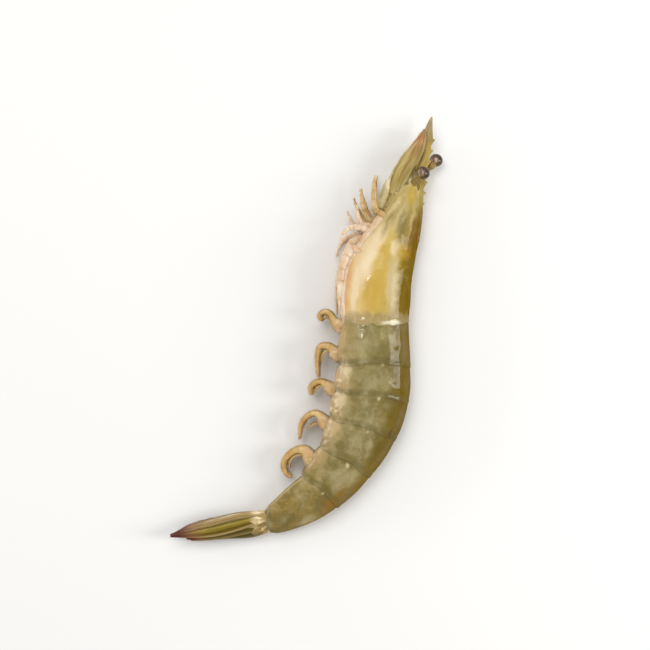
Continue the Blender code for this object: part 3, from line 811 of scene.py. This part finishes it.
for side, base, centre in EYES:
    foot, head = (Vector(lay(*point)) for point in (base, centre))
    turned = np.array((head - foot).normalized().to_track_quat("Z", "Y").to_matrix()).T
    ball, shape = new_ball(f"eye_{side}_ball", 48, 32)
    placed = (shape * np.array((EYE_RADIUS, EYE_RADIUS * 0.96, EYE_RADIUS * 0.97)) * MM) @ turned
    facing = placed / np.linalg.norm(placed, axis=1, keepdims=True)
    note(ball, "ring", columns((shape[:, 2] + 1) / 2, facing[:, 0], facing[:, 2]))
    set_down(ball, placed + np.array(head))
    finish_piece(ball, eye_finish, "eyes", f"eye_{side}")
    # Stalk: a tube from its foot to the collar that cups the ball.
    deselect()
    bpy.ops.mesh.primitive_cylinder_add(vertices=32, radius=1.0, depth=1.0, location=(0, 0, 0.5))
    stalk = bpy.context.object
    stalk.name = f"eye_{side}_stalk"
    bpy.ops.object.transform_apply(location=True, rotation=False, scale=False)
    bpy.ops.object.mode_set(mode="EDIT")
    bpy.ops.mesh.select_all(action="SELECT")
    bpy.ops.mesh.subdivide(number_cuts=12)
    bpy.ops.object.mode_set(mode="OBJECT")
    shape = points_of(stalk)
    note(stalk, "ring", shape)
    radius = np.interp(shape[:, 2], *STALK_PROFILE)
    length = (head - foot).length / MM - COLLAR_OVERLAP
    grown = columns(shape[:, 0] * radius, shape[:, 1] * radius, shape[:, 2] * length) * MM
    set_down(stalk, grown @ turned + np.array(foot))
    finish_piece(stalk, stalk_finish, "eyes")

# ------------------------------
# Antennal scales. Two stiff leaf-shaped blades beside the rostrum, each with a strong outer rib
# ending in a spine and a fringe of hairs on the inner edge. Each is a sheet cut to its outline,
# ribbed and given its wall.
BLADE_FULLNESS = 0.93
BLADE_WALL = 0.3
HAIR_RADIUS = 0.035
HAIR_STEPS, HAIR_TAPER = (-0.15, 0.3, 0.7, 1.0), (1.0, 0.9, 0.7, 0.35)  # along a hair, from its root
# Distance, offset, half width.
SCALE_LINE = (
    (26.0, -2.6, 1.6), (22.5, -2.5, 2.1), (18.5, -2.0, 2.7), (14, -1.3, 2.6), (10, -0.65, 1.95),
    (6.9, -0.65, 1.05), (4.6, -0.85, 0.2),
)


def smooth_line(stations, count):
    """The stations with a smooth curve through them, read at count even steps."""
    table = np.array([(i, *station) for i, station in enumerate(stations)], float)
    marks = np.linspace(0, len(stations) - 1, count)
    return columns(*(along(table, column, marks) for column in range(1, table.shape[1])))


def follow(stations, a, count):
    """For shares a of a smooth line through stations of distance, offset, height and sizes: the
    centre, the way sideways and the sizes. The line is followed in plan, so that what lies along
    it keeps its width where the body bends."""
    line = smooth_line(stations, count)
    centres = lay(*line[:, :3].T)
    ahead = np.gradient(centres[:, :2], axis=0)
    ahead /= np.linalg.norm(ahead, axis=1, keepdims=True)
    marks, grid = a * (count - 1), np.arange(count)
    centre, ahead, sizes = (
        columns(*(np.interp(marks, grid, column) for column in table.T))
        for table in (centres, ahead, line[:, 3:])
    )
    ahead /= np.linalg.norm(ahead, axis=1, keepdims=True)
    return centre, columns(-ahead[:, 1], ahead[:, 0], np.zeros(len(a))), sizes.T


def leaf(name, stations, lengthwise, crosswise, rise, thickness):
    """A blade along stations of distance, offset, height, half width; rise(a, b) lifts it, mm."""
    sheet = flat_sheet(name, lengthwise, crosswise)
    a, b = points_of(sheet)[:, :2].T
    b = 1 - 2 * b
    centre, sideways, (half,) = follow(stations, a, 400)
    half = half * BLADE_FULLNESS
    points = centre + sideways * (b * half * MM)[:, None]
    points[:, 2] += rise(a, b) * MM
    move_points(sheet, points)
    note(sheet, "leaf", columns(a, b, half))
    solidify = sheet.modifiers.new("wall", "SOLIDIFY")
    solidify.thickness = thickness * MM
    solidify.offset = 0
    apply_all(sheet)
    set_down(sheet, points_of(sheet))
    return sheet


def fringe(name, blade, span, rims, weights, hairs, length, lean, finish, part_slot):
    """Fine hairs on a blade's rims between two shares of its length; a rim is given by the blade's
    own second and third numbers. Bevelled curves, leaning towards the tip."""
    points = points_of(blade)
    marks = np.empty(len(points) * 3, np.float32)
    blade.data.attributes["leaf"].data.foreach_get("vector", marks)
    marks = marks.reshape(-1, 3)

    def at(share, rim):
        apart = (marks - (share, *rim)) * (6.0, *weights)
        return points[np.argmin((apart**2).sum(1))]

    chance = np.random.default_rng(len(name) + hairs)
    curve = new_curve(name, dimensions="3D", bevel_depth=HAIR_RADIUS * MM, bevel_resolution=0)
    for rim in rims:
        for k in range(hairs):
            share = span[0] + (span[1] - span[0]) * (k + chance.random()) / hairs
            root = at(share, rim)
            outward = root - at(share, (-rim[0], -rim[1]))
            ahead = at(min(share + 0.06, 1.0), rim) - at(share - 0.06, rim)
            outward /= max(np.linalg.norm(outward), 1e-9)
            ahead /= max(np.linalg.norm(ahead), 1e-9)
            reach = length * MM * (0.7 + 0.6 * chance.random())
            way = outward * (1 - lean) + ahead * lean + chance.normal(0, 0.12, 3)
            spots = [root + way * grown * reach + ahead * 0.25 * reach * grown**2 for grown in HAIR_STEPS]
            add_path(curve, [(x, y, max(z, 0.05 * MM)) for x, y, z in spots], HAIR_TAPER)
    finish_piece(meshed(curve), finish, part_slot)


finish = WetFinish("scale_finish", rough=0.32, coat=0.7, coat_rough=0.12, under=0.3, reach=1.0)
place, length_share, width_share, _ = finish.marks("leaf")
streak = finish.grain(place, 1.0, stretch=(3.0, 2.4, 1.0))
finish.colour = finish.ramp(length_share, (
    (0.0, 160, 140, 76), (0.35, 162, 140, 66), (0.6, 160, 126, 64), (0.8, 172, 112, 60), (1.0, 160, 134, 98),
), smooth=False)
finish.lay(
    # Grey-green outer edge, golden inner part, then dark and pale streaks.
    ((166, 150, 98), (width_share, -0.35, -0.9), 0.7),
    ((176, 150, 58), (width_share, 0.1, 0.8, 0.6), (length_share, 0.75, 0.4)),
    ((130, 102, 40), (streak, 0.46, 0.64, 0.6)),
    ((190, 172, 116), (streak, 0.48, 0.34, 0.4)),
)
finish.dress(streak, 0.07)
hair_finish = WetFinish("hair_finish", rough=0.4, coat=0.3, under=0.0)
hair_finish.shader.inputs["Base Color"].default_value = tint(206, 180, 122)

for side, level, shift in (("left", 2.7, 0.0), ("right", -2.7, 0.9)):
    def scale_rise(a, b):
        crown = 0.55 * (1 - b**2)
        ribs = 0.45 * bell(b, -0.72, 0.12) + 0.22 * bell(b, -0.2, 0.1) + 0.15 * bell(b, 0.25, 0.1)
        return (crown + ribs * (1 - step(a, 0.85, 1.0))) * math.copysign(0.7, level)

    stations = [(s, u + shift, level, half) for s, u, half in SCALE_LINE]
    scale = leaf(f"antennal_scale_{side}_blade", stations, 90, 44, scale_rise, BLADE_WALL)
    finish_piece(scale, finish, "antennal_scales", f"antennal_scale_{side}")
    fringe(f"antennal_scale_{side}_hairs", scale, (0.35, 0.9), ((1, 0),), (1, 0), 70, 1.0, 0.5,
           hair_finish, "antennal_scales")

# ------------------------------
# Feelers. Each antennule has three stout joints and two short whips; each antenna a broad base and
# a whip, broken off short. Bevelled curves, thicker round each joint.
MERGE = 0.002  # points closer than this, mm, are one


def limb(name, line, joints, finish, *nodes, knuckle=0.07, sides=5):
    """Round jointed limb along points of distance, offset, height and radius; joints are shares."""
    count = len(line)
    share = np.linspace(0, 1, count)
    radius = np.maximum(line[:, 3], 0.05)
    at_joint = np.zeros(count)
    for joint in joints:
        at_joint = np.maximum(at_joint, bell(share, joint, 0.016))
        swollen = bell(share, joint - 0.018, 0.018) - 1.2 * bell(share, joint + 0.012, 0.01)
        radius = radius * (1 + knuckle * swollen)
    centres = lay(*line[:, :3].T)
    centres[:, 2] = np.maximum(centres[:, 2], radius * MM)
    curve = new_curve(name, dimensions="3D", bevel_depth=MM, bevel_resolution=sides, use_fill_caps=True)
    add_path(curve, centres, radius)
    piece = meshed(curve)
    turn_outward(piece, MERGE * MM)
    # Noted: share of the length, how far aside of the middle, and nearness to a joint.
    points = points_of(piece)
    nearest = np.argmin(((points[:, None, :] - centres[None]) ** 2).sum(-1), axis=1)
    ahead = np.gradient(centres[:, :2], axis=0)
    ahead /= np.maximum(np.linalg.norm(ahead, axis=1, keepdims=True), 1e-9)
    apart = (points[:, :2] - centres[nearest, :2]) / MM
    aside = (apart[:, 1] * ahead[nearest, 0] - apart[:, 0] * ahead[nearest, 1]) / radius[nearest]
    note(piece, "leaf", columns(share[nearest], aside, line[nearest, 0]))
    note(piece, "joint", np.repeat(at_joint[nearest][:, None], 3, axis=1))
    finish_piece(piece, finish, "limbs", *nodes)


finish = mottled(
    "feeler_finish", ((0.32, 168, 150, 98), (0.5, 192, 175, 126), (0.68, 218, 203, 164)),
    size=0.0026, depth=0.02, detail=2.0, marks=None, coat=0.5, coat_rough=0.15, under=0.2, reach=0.8)

for side, level, shift in (("left", 1, 0.0), ("right", -1, 0.9)):
    line = [(23.0, 0.6 + shift, 1.6 * level, 1.0), (18.0, 0.2 + shift, 1.6 * level, 0.95),
            (14.0, -0.4 + shift, 1.7 * level, 0.75), (11.0, -0.9 + shift, 1.7 * level, 0.55)]
    limb(f"antennule_{side}_base", smooth_line(line, 60), (0.38, 0.72), finish, f"antennule_{side}")
    for whip, lift in (("upper", 0.35), ("lower", -0.35)):
        line = [(11.4, -0.9 + shift, 1.7 * level + lift * 0.5, 0.36),
                (8.6, -0.8 + shift * 0.6, 1.7 * level + lift, 0.24),
                (6.4, -0.5 + shift * 0.3, 1.6 * level + lift * 1.3, 0.15),
                (4.4, -0.3, 1.5 * level + lift * 1.2, 0.07)]
        limb(f"antennule_{side}_{whip}_whip", smooth_line(line, 90), np.arange(0.1, 1, 0.09), finish,
             knuckle=0.08, sides=3)
    line = [(31.0, -4.9, 2.2 * level, 1.0), (27.5, -5.0, 2.2 * level, 1.35), (24.6, -5.2, 2.2 * level, 1.2),
            (22.4, -5.5, 2.2 * level, 0.75)]
    limb(f"antenna_{side}_base", smooth_line(line, 60), (0.35, 0.75), finish, f"antenna_{side}")
    line = [(23.0, -5.1, 2.2 * level, 0.5), (19.0, -4.9 + shift * 0.5, 2.4 * level, 0.32),
            (16.0, -4.3 + shift * 0.6, 2.4 * level, 0.26), (13.0, -3.6 + shift, 2.4 * level, 0.18)]
    limb(f"antenna_{side}_whip", smooth_line(line, 110), np.arange(0.06, 1, 0.05), finish,
         knuckle=0.08, sides=3)

# ------------------------------
# Walking legs and the longest mouth legs. Thin pale jointed tubes folded along the belly, the first
# three pairs with small claws. Bevelled curves with a knuckle at each joint.
LEGS = (
    # Name, height over the middle plane, radius, hip, then the joints as distance and offset.
    ("maxilliped_left", 4.1, 0.75, 32.4, (32.0, -6.2), (27.0, -8.2), (22.4, -9.6)),
    ("pereiopod_1_left", 0.9, 0.9, 34.8, (35.2, -6.6), (31.0, -10.2), (27.2, -12.0)),
    ("pereiopod_2_left", 2.6, 0.6, 36.6, (37.0, -8.6), (35.0, -10.4), (32.2, -11.4)),
    ("pereiopod_3_left", 4.5, 0.75, 38.2, (38.0, -8.4), (39.0, -11.8), (43.2, -13.8)),
    ("pereiopod_4_left", 2.4, 0.95, 41.2, (43.0, -9.9), (50.0, -10.7), (57.5, -10.8)),
    ("pereiopod_5_left", 4.6, 0.95, 44.4, (46.6, -10.2), (53.0, -10.7), (61.6, -10.2)),
    ("maxilliped_right", -4.3, 0.75, 32.0, (31.6, -6.0), (27.0, -7.9), (21.6, -8.8)),
    ("pereiopod_1_right", -0.8, 0.6, 35.6, (36.2, -7.4), (33.2, -11.0), (30.2, -13.2)),
    ("pereiopod_2_right", -2.6, 0.6, 37.6, (38.4, -9.2), (36.6, -12.2), (34.2, -13.8)),
    ("pereiopod_3_right", -4.4, 0.75, 39.6, (40.4, -9.8), (42.6, -12.4), (47.2, -13.4)),
    ("pereiopod_4_right", 0.3, 0.85, 42.2, (44.4, -10.5), (51.0, -11.4), (58.6, -11.3)),
    ("pereiopod_5_right", -2.2, 0.85, 45.4, (47.6, -10.7), (54.0, -11.3), (62.0, -10.9)),
)
LEG_TAPER = (1.5, 1.45, 1.3, 1.05, 0.22)  # of the leg's radius, from hip to tip
FINGER_TAPER = (0.42, 0.28, 0.1)
HIPS_START, HIPS_END, HIP_GAP, HIP_LEVEL = 33.5, 64.4, 5.6, 4.3


def leg_skin(name, paints, streak_paint, root_paint):
    """Thin skin, from dark to pale paints, over muscle that shows as streaks."""
    skin = WetFinish(name, rough=0.3, under=0.5, reach=1.2)
    _, length_share, side_share, _ = skin.marks("leaf")
    blush = skin.grain(skin.here(), 0.0034)
    core = skin.node("CombineXYZ", {0: length_share, 1: side_share}).outputs[0]
    strands = skin.grain(core, 1.0, stretch=(3.0, 1.4, 1.0))
    skin.colour = skin.ramp(blush, [(stop, *paint) for stop, paint in zip((0.3, 0.46, 0.6, 0.75), paints)])
    skin.lay(
        (streak_paint, (strands, 0.48, 0.64, 0.45)),
        (root_paint, (length_share, 0.3, 0.0, 0.5)),
        # Amber ring at every joint, where the skin is thin.
        (streak_paint, skin.marks("joint")[1], 0.4),
    )
    skin.dress(strands, 0.04)
    return skin


# Pale pink for the walking legs, tan for the mouth legs and the small claws beside them.
leg_finish = leg_skin(
    "leg_finish", ((208, 174, 136), (220, 196, 164), (228, 209, 184), (238, 222, 202)),
    (208, 160, 114), (208, 173, 128))
mouth_leg_finish = leg_skin(
    "mouth_leg_finish", ((172, 138, 84), (196, 164, 108), (210, 182, 130), (224, 202, 158)),
    (164, 126, 68), (190, 160, 108))


def belly(s, lobe=1.0):
    return float(along(BODY, 2, s)) * lobe - 0.4


def bent_line(stations, count):
    """Straight from station to station with tight bends, and the shares at which the bends lie."""
    table = np.array(stations, float)
    lengths = np.concatenate(((0,), np.cumsum(np.linalg.norm(np.diff(table[:, :3], axis=0), axis=1))))
    marks = np.linspace(0, lengths[-1], count)
    line = columns(*(np.interp(marks, lengths, column) for column in table.T))
    for _ in range(4):
        line[1:-1] = (line[:-2] + 2 * line[1:-1] + line[2:]) / 4
    return line, lengths[1:-1] / lengths[-1]


for name, level, radius, root, *line in LEGS:
    line = [(root + 0.6, belly(root) + 2.4), (root, belly(root) - radius * 0.5), *line]
    stations = [np.array((s, u, level, radius * size)) for (s, u), size in zip(line, LEG_TAPER)]
    # An extra joint in each of the long stretches, a little out of line.
    for k in (3, 2):
        joint = stations[k] + (stations[k + 1] - stations[k]) * 0.55
        joint[1] -= 0.25
        joint[2] += math.copysign(0.2, level)
        stations.insert(k + 1, joint)
    skin = mouth_leg_finish if "maxilliped" in name or "pereiopod_1" in name else leg_finish
    limb(f"{name}_leg", *bent_line(stations, 120), skin, name, knuckle=0.12, sides=6)
    if any(f"pereiopod_{k}" in name for k in (1, 2, 3)):
        # Second finger of the claw, hinged beside the first.
        hinge, tip = stations[-2:]
        out = tip - hinge
        aside = np.array((-out[1], out[0], 0.0, 0.0)) / max(np.hypot(out[0], out[1]), 0.1)
        finger = [hinge + out * 0.45, hinge + out * 0.7 + aside * radius * 0.6, tip + aside * radius * 0.15]
        finger = [(*point[:3], radius * size) for point, size in zip(finger, FINGER_TAPER)]
        limb(f"{name}_finger", *bent_line(finger, 40), skin, knuckle=0.05, sides=4)

# Hip joints: two rows of swollen lumps between the shield's edges and the legs.
for side, level in (("left", HIP_LEVEL), ("right", -HIP_LEVEL)):
    s = np.linspace(HIPS_START, HIPS_END, 220)
    swelling = np.abs(np.cos((s - HIPS_START) * math.pi / HIP_GAP)) ** 0.7
    thick = (1.15 + 0.2 * swelling) * np.clip((HIPS_END + 0.4 - s) / 3.0, 0.3, 1)
    hip_line = columns(s, along(BODY, 2, s) + 0.6 - 0.1 * swelling, np.full(len(s), level), thick)
    limb(f"hips_{side}", hip_line, (), leg_finish, sides=7)

# ------------------------------
# Swimmerets. Five pairs of curled paddles under the abdomen, each on a stout foot, pink tan with a
# gold blade. Each is a ball drawn out to a strap that follows its curl, standing on edge.
PADDLES = (
    # Root along the back line, then the curl as distance and offset.
    (65.8, (63.8, -11.9), (61.9, -13.1), (61.3, -14.8), (62.4, -16.3), (64.0, -15.5)),
    (73.8, (72.3, -12.2), (71.2, -13.8), (71.7, -15.9), (74.4, -16.5), (78.1, -16.4), (82.4, -15.7)),
    (86.0, (84.2, -13.3), (83.5, -15.0), (84.7, -16.8), (87.0, -17.6), (90.0, -16.9)),
    (99.0, (97.0, -12.3), (96.7, -14.3), (99.4, -16.0), (104.2, -16.3), (110.2, -14.2)),
    (111.9, (112.0, -11.3), (114.8, -13.2), (119.0, -13.3), (121.7, -11.6), (122.2, -9.4), (121.4, -7.8)),
)
# The inner blade of each, shorter and more tightly curled.
INNER_PADDLES = (
    ((65.6, -10.6), (64.3, -11.9), (63.2, -13.0), (62.8, -14.2), (63.5, -15.0)),
    ((73.6, -11.2), (72.8, -12.6), (72.9, -14.0), (74.4, -15.1), (77.0, -15.3)),
    ((85.8, -11.8), (85.0, -13.3), (85.2, -14.8), (86.8, -16.0), (88.6, -15.9)),
    ((100.8, -9.4), (100.0, -10.6), (99.9, -11.9), (101.6, -13.4), (104.6, -14.0)),
    ((113.2, -8.8), (113.6, -10.6), (115.6, -11.9), (118.4, -11.8), (120.2, -10.2)),
)
PADDLE_LEVEL = 2.3
# Share of the paddle's length and its half thickness there.
PADDLE_PROFILE = ((0, 0.16, 0.3, 0.5, 0.8, 1.0), (2.8, 2.3, 1.5, 0.95, 0.7, 0.34))
INNER_THICKNESS = (0.7, 0.6, 0.5, 0.42, 0.25)
BELLY_LOBE = 1.06

finish = WetFinish("paddle_finish", rough=0.32, coat=0.7, coat_rough=0.12, under=0.45, reach=1.2)
place, length_share, width_share, _ = finish.marks("leaf")
here = finish.here()
lengthways = finish.grain(place, 1.0, stretch=(2.0, 3.0, 1.5))
finish.colour = finish.ramp(finish.grain(here, 0.0026), (
    (0.32, 164, 130, 66), (0.46, 188, 156, 90), (0.58, 204, 176, 116), (0.72, 224, 202, 158)))
finish.lay(
    # Pink tan foot with whitish clouds.
    ((196, 162, 122), (length_share, 0.42, 0.18, 0.85)),
    ((228, 204, 172), (finish.grain(here, 0.0014, 4.0), 0.5, 0.62, 0.7), (length_share, 0.44, 0.26)),
    # Gold blade with dark and pale streaks, a pale margin and an orange tip.
    ((158, 112, 48), (lengthways, 0.46, 0.64, 0.6)),
    ((222, 194, 142), (lengthways, 0.44, 0.34, 0.5)),
    ((218, 182, 122), (finish.size_of(width_share), 0.85, 1.0), 0.45),
    ((188, 132, 72), (length_share, 0.7, 1.0, 0.45)),
    ((142, 116, 70), (finish.grain(here, 0.0007, 2.0), 0.5, 0.68, 0.35)),
)
finish.dress(lengthways, 0.09)


def paddle(name, stations, lengthwise=70, around=28):
    """A strap on edge along stations of distance, offset, height, half thickness and half height."""
    strap, ball = new_ball(name, around, lengthwise)
    a = np.arccos(np.clip(-ball[:, 2], -1, 1)) / math.pi
    turn = np.arctan2(ball[:, 1], ball[:, 0])
    centre, sideways, (thick, tall) = follow(stations, a, 300)
    ends = np.clip(np.minimum(a, 1 - a) / 0.05, 0, 1) ** 0.5
    face, rise = np.cos(turn), np.sin(turn)
    plan = np.sign(face) * np.abs(face) ** 0.55 * thick * ends
    dent = 0.16 * bell(np.abs(rise), 0.25, 0.25) * np.sign(face) * step(a, 0.25, 0.45)
    wobble = 0.1 * lumps(columns(a * 9, turn, thick), 1.0, len(name))
    points = centre + sideways * ((plan - dent + wobble * ends) * MM)[:, None]
    points[:, 2] += rise * tall * ends * MM
    set_down(strap, points)
    note(strap, "leaf", columns(a, rise, face))
    turn_outward(strap)
    return strap


for number, ((root, *curl), inner) in enumerate(zip(PADDLES, INNER_PADDLES), start=1):
    foot = (curl[0][0] + 0.8 * root) / 1.8
    line = [(foot + 0.9, belly(root, BELLY_LOBE) + 2.9), (foot + 0.4, belly(root, BELLY_LOBE) + 0.7), *curl]
    for side, level, reach in (("left", PADDLE_LEVEL, 1.0), ("right", -PADDLE_LEVEL, 0.94)):
        stations = []
        for i, (s, u) in enumerate(line):
            share = i / (len(line) - 1)
            thick = np.interp(share, *PADDLE_PROFILE)
            stations.append((s, line[0][1] + (u - line[0][1]) * reach, level, thick, 1.9 - 0.9 * share))
        strap = paddle(f"pleopod_{number}_{side}_paddle", stations)
        finish_piece(strap, finish, "swimmerets", f"pleopod_{number}_{side}")
        fringe(f"pleopod_{number}_{side}_hairs", strap, (0.45, 0.98), ((0, 1), (0, -1)), (1, 1), 44,
               0.7, 0.55, hair_finish, "swimmerets")
        stations = [
            (s, u, level - math.copysign(0.5, level), thick, 1.5 - 0.2 * i)
            for i, ((s, u), thick) in enumerate(zip(inner, INNER_THICKNESS))
        ]
        strap = paddle(f"pleopod_{number}_{side}_inner", stations, 50, 20)
        finish_piece(strap, finish, "swimmerets")

# ------------------------------
# Tail fan. A pointed central spike and two pairs of blades folded over each other, olive with
# ridges, red-brown at the tips and fringed with fine hairs. Ribbed sheets with their walls.

# Distance, offset, height, half width.
TELSON = (
    (135.5, 1.2, 0.1, 2.1), (142, 1.8, 0.1, 1.7), (149, 1.6, 0.1, 1.2), (156, 1.9, 0, 0.6),
    (159.5, 2.0, 0, 0.12),
)
TELSON_WALL = 0.6
FAN = (
    # Node, height, tone, then distance, offset and half width.
    ("uropod_outer_left", 2.9, 0.0,
     (135.8, -2.4, 1.3), (144, -2.1, 2.7), (152, -1.2, 2.9), (159, -0.6, 1.9), (165.3, -0.1, 0.4)),
    ("uropod_inner_left", 1.9, 0.75,
     (135.8, 0.2, 1.2), (143, -0.3, 2.6), (151, 0.1, 2.6), (157, 0.7, 1.7), (160.6, 1.2, 0.4)),
    ("uropod_inner_right", -1.6, 0.75,
     (135.8, 0.4, 1.2), (143, 0.1, 2.6), (151, 0.2, 2.6), (157, 0.7, 1.7), (161.2, 1.2, 0.4)),
    ("uropod_outer_right", -2.6, 0.0,
     (135.8, -2.0, 1.3), (144, -1.7, 2.7), (152, -0.9, 2.9), (159, -0.4, 2.2), (163.6, -0.3, 0.4)),
)
ROOT_KNOBS = (
    ("fan_root_left", (139.2, -1.6, 1.7), (4.4, 2.4, 1.9)),
    ("fan_root_right", (139.2, -1.4, -1.6), (4.4, 2.4, 1.9)),
    ("fan_root_back", (138.4, 1.4, 0.3), (3.8, 2.0, 2.6)),
)

finish = WetFinish("fan_finish", rough=0.3, coat=0.85, under=0.3, reach=1.0)
place, length_share, width_share, _ = finish.marks("leaf")
_, tone, *_ = finish.marks("tone")
streak = finish.grain(place, 1.0, stretch=(2.2, 2.6, 1.0))
band = finish.scaled(finish.scaled(streak, 0.5, width_share), 0.5, 0.375)
# Darker colours for the inner blades and the spike, their grooves also darkened as painted shade.
dark = finish.ramp(band, (
    (0.0, 110, 94, 32), (0.3, 126, 106, 34), (0.42, 78, 66, 10), (0.6, 110, 92, 28),
    (0.76, 72, 62, 14), (1.0, 118, 100, 48)), smooth=False)
root_glints = finish.grain(place, 1.1, 2.0, stretch=(2.2, 2.6, 1.0))
# Across a blade, from the belly side: tan, a dark groove, yellow olive, a dark groove, a pale edge; the dark
# grooves are painted shade.
finish.colour = finish.ramp(band, (
    (0.0, 130, 104, 52), (0.1, 156, 128, 72), (0.34, 142, 116, 56), (0.4, 92, 76, 10),
    (0.45, 128, 108, 26), (0.56, 156, 136, 44), (0.66, 140, 118, 28), (0.72, 92, 74, 4),
    (0.86, 100, 82, 12), (0.92, 158, 134, 78), (1.0, 170, 146, 92)), smooth=False)
finish.lay(
    # The inner blades and the spike are darker.
    (dark, tone),
    ((92, 76, 16), (streak, 0.5, 0.66, 0.35)),
    # Tan at the root, rosy then dark red brown at the tip, with painted whitish glints by the root.
    ((176, 150, 96), (length_share, 0.22, 0.0, 0.8)),
    ((140, 96, 62), (length_share, 0.56, 0.8, 0.65)),
    ((84, 30, 20), (length_share, 0.7, 0.92, 0.95)),
    ((228, 206, 162), (root_glints, 0.5, 0.66), (length_share, 0.2, 0.05)),
)
finish.dress(streak, 0.06)
tip_hair_finish = WetFinish("tip_hair_finish", rough=0.4, coat=0.3, under=0.0)
tip_hair_finish.shader.inputs["Base Color"].default_value = tint(132, 84, 58)


def spike_rise(a, b):
    groove = 0.45 * bell(b, 0, 0.16) * step(a, 0.12, 0.3) * (1 - step(a, 0.85, 1.0))
    return (1.0 - 0.55 * a) * (1 - np.abs(b) ** 2.2) - groove


def fan_rise(a, b):
    crown = 0.5 * (1 - b**2)
    ribs = 0.4 * bell(b, 0.15, 0.07) + 0.3 * bell(b, -0.22, 0.07) + 0.2 * bell(b, -0.6, 0.08)
    return (crown + ribs * step(a, 0.05, 0.2) * (1 - step(a, 0.8, 1.0))) * 0.6


telson = leaf("telson_spike", TELSON, 90, 36, spike_rise, TELSON_WALL)
note(telson, "tone", np.full((len(telson.data.vertices), 3), 1.0))
finish_piece(telson, finish, "tail_fan", "telson")
for name, level, tone, *line in FAN:
    stations = [(s, u, level, half) for s, u, half in line]
    blade = leaf(f"{name}_blade", stations, 110, 60, fan_rise, BLADE_WALL)
    note(blade, "tone", np.full((len(blade.data.vertices), 3), tone))
    finish_piece(blade, finish, "tail_fan", name)
    fringe(f"{name}_hairs", blade, (0.5, 0.9), ((1, 0), (-1, 0)), (1, 0), 60,
           0.6, 0.75, tip_hair_finish, "tail_fan")

# Swollen joint at the root of the fan, whitish over tan, that the blades hinge on.
finish = mottled(
    "root_finish", ((0.34, 122, 98, 44), (0.46, 162, 136, 82), (0.54, 200, 178, 126), (0.63, 236, 220, 184)),
    size=2.2, depth=0.08, detail=2.0, stretch=(0.8, 1.2, 1.2), rough=0.3, coat_rough=0.06, under=0.3,
    reach=1.0)
for name, centre, reach in ROOT_KNOBS:
    knob, ball = new_ball(name, 40, 30)
    uneven = 1 + 0.12 * lumps(ball * 1.5, 1.0, centre[1])
    move_points(knob, ball * uneven[:, None] * np.array(reach) + np.array(centre))
    lay_down(knob)
    finish_piece(knob, finish, "tail_fan")
